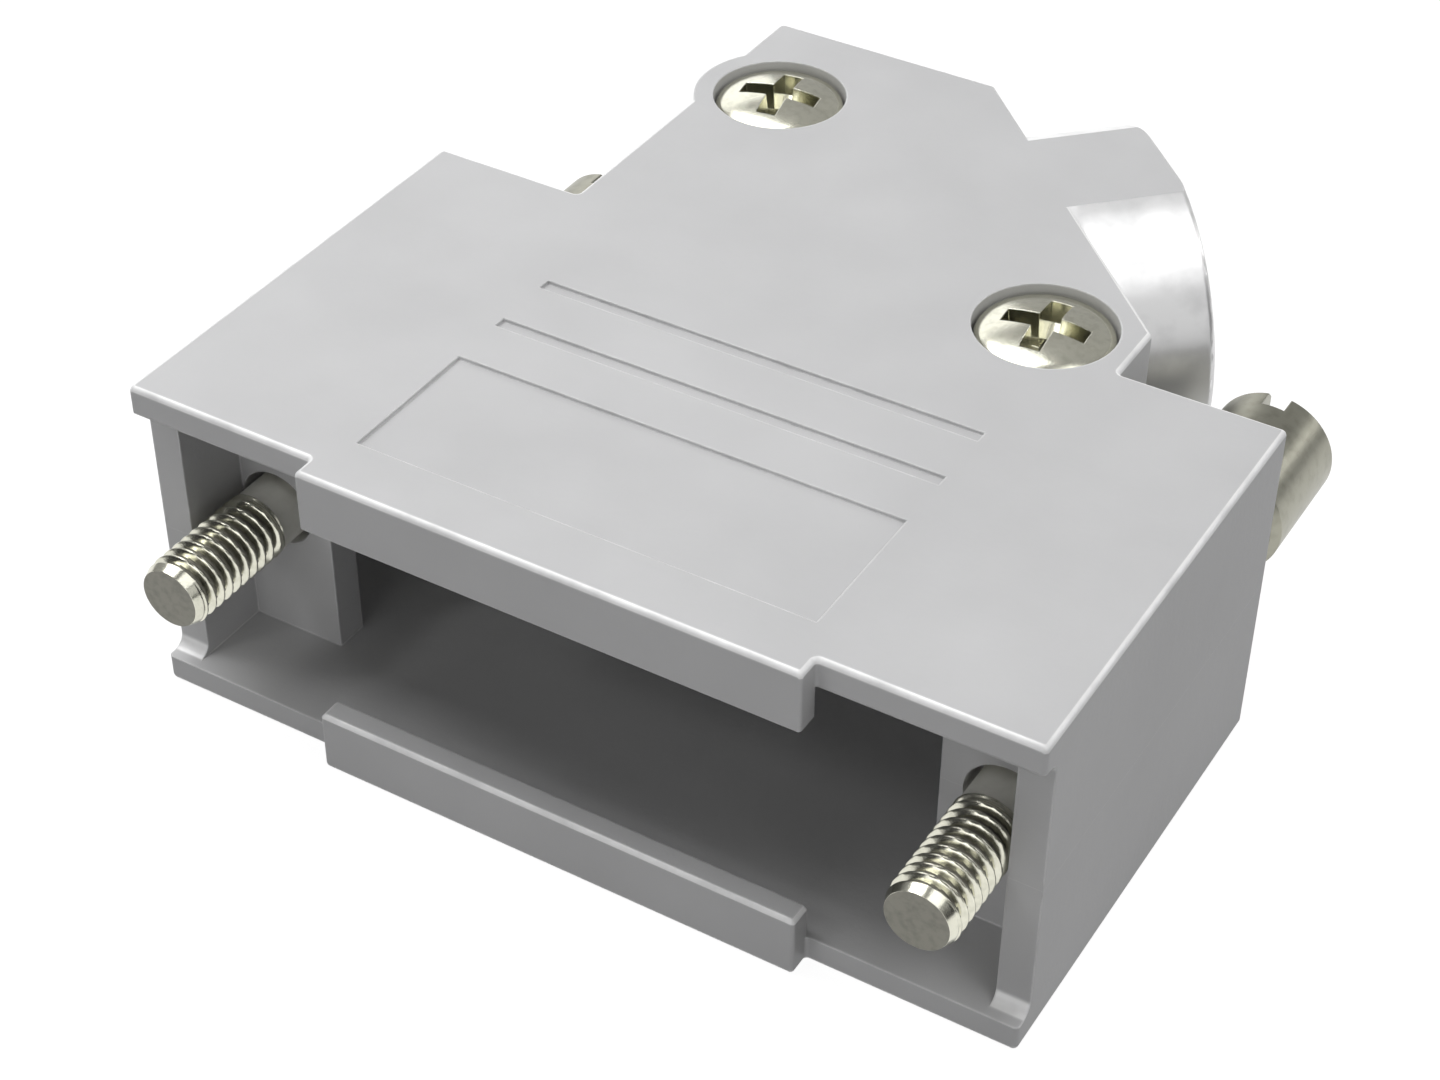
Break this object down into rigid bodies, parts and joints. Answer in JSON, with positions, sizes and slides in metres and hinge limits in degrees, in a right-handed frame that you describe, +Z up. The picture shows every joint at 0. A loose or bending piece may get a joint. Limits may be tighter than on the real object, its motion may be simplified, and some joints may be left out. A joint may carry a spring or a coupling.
{
  "type": "d-sub hood",
  "caption": "Two-part die-cast metal hood for a 15-way D-sub connector, with a 45 degree cable exit, captive slotted jackscrews and pan-head shell screws.",
  "frame": {"origin": "middle of the connector opening, half way between the two jackscrews, in the plane of the mated flange's front face and at the parting plane's height", "axes": "+Y runs from the opening back into the hood, +Z up towards the face with the screw heads, +X to the right seen from above with the opening towards the viewer"},
  "size_m": [0.0396, 0.045, 0.0153],
  "materials": {
    "casting": "satin silver-grey plating on die-cast zinc alloy",
    "screw_metal": "bright nickel plating with a faint yellow tint",
    "clip_steel": "spring steel, lightly oiled",
    "clamp_metal": "zinc-plated steel"
  },
  "bodies": {
    "hood": {"upper_shell": "casting", "lower_shell": "casting", "shell_screw_rear": "screw_metal", "shell_screw_side": "screw_metal", "clamp_saddle_lower": "clamp_metal", "clamp_saddle_upper": "clamp_metal", "clamp_screw_rear": "clamp_metal", "clamp_screw_side": "clamp_metal"},
    "clip_left": {"retaining_clip_left": "clip_steel"},
    "clip_right": {"retaining_clip_right": "clip_steel"},
    "screw_left": {"jackscrew_left": "screw_metal"},
    "screw_right": {"jackscrew_right": "screw_metal"}
  },
  "joints": [
    {"name": "left_screw_slide", "type": "slide", "parent": "hood", "child": "clip_left", "axis": [0, -1, 0], "range_m": [0, 0.0025]},
    {"name": "right_screw_slide", "type": "slide", "parent": "hood", "child": "clip_right", "axis": [0, -1, 0], "range_m": [0, 0.0025]},
    {"name": "left_screw_turn", "type": "hinge", "parent": "clip_left", "child": "screw_left", "pos_m": [-0.01666, 0.01, 0], "axis": [0, -1, 0], "continuous": true},
    {"name": "right_screw_turn", "type": "hinge", "parent": "clip_right", "child": "screw_right", "pos_m": [0.01666, 0.01, 0], "axis": [0, -1, 0], "continuous": true}
  ]
}
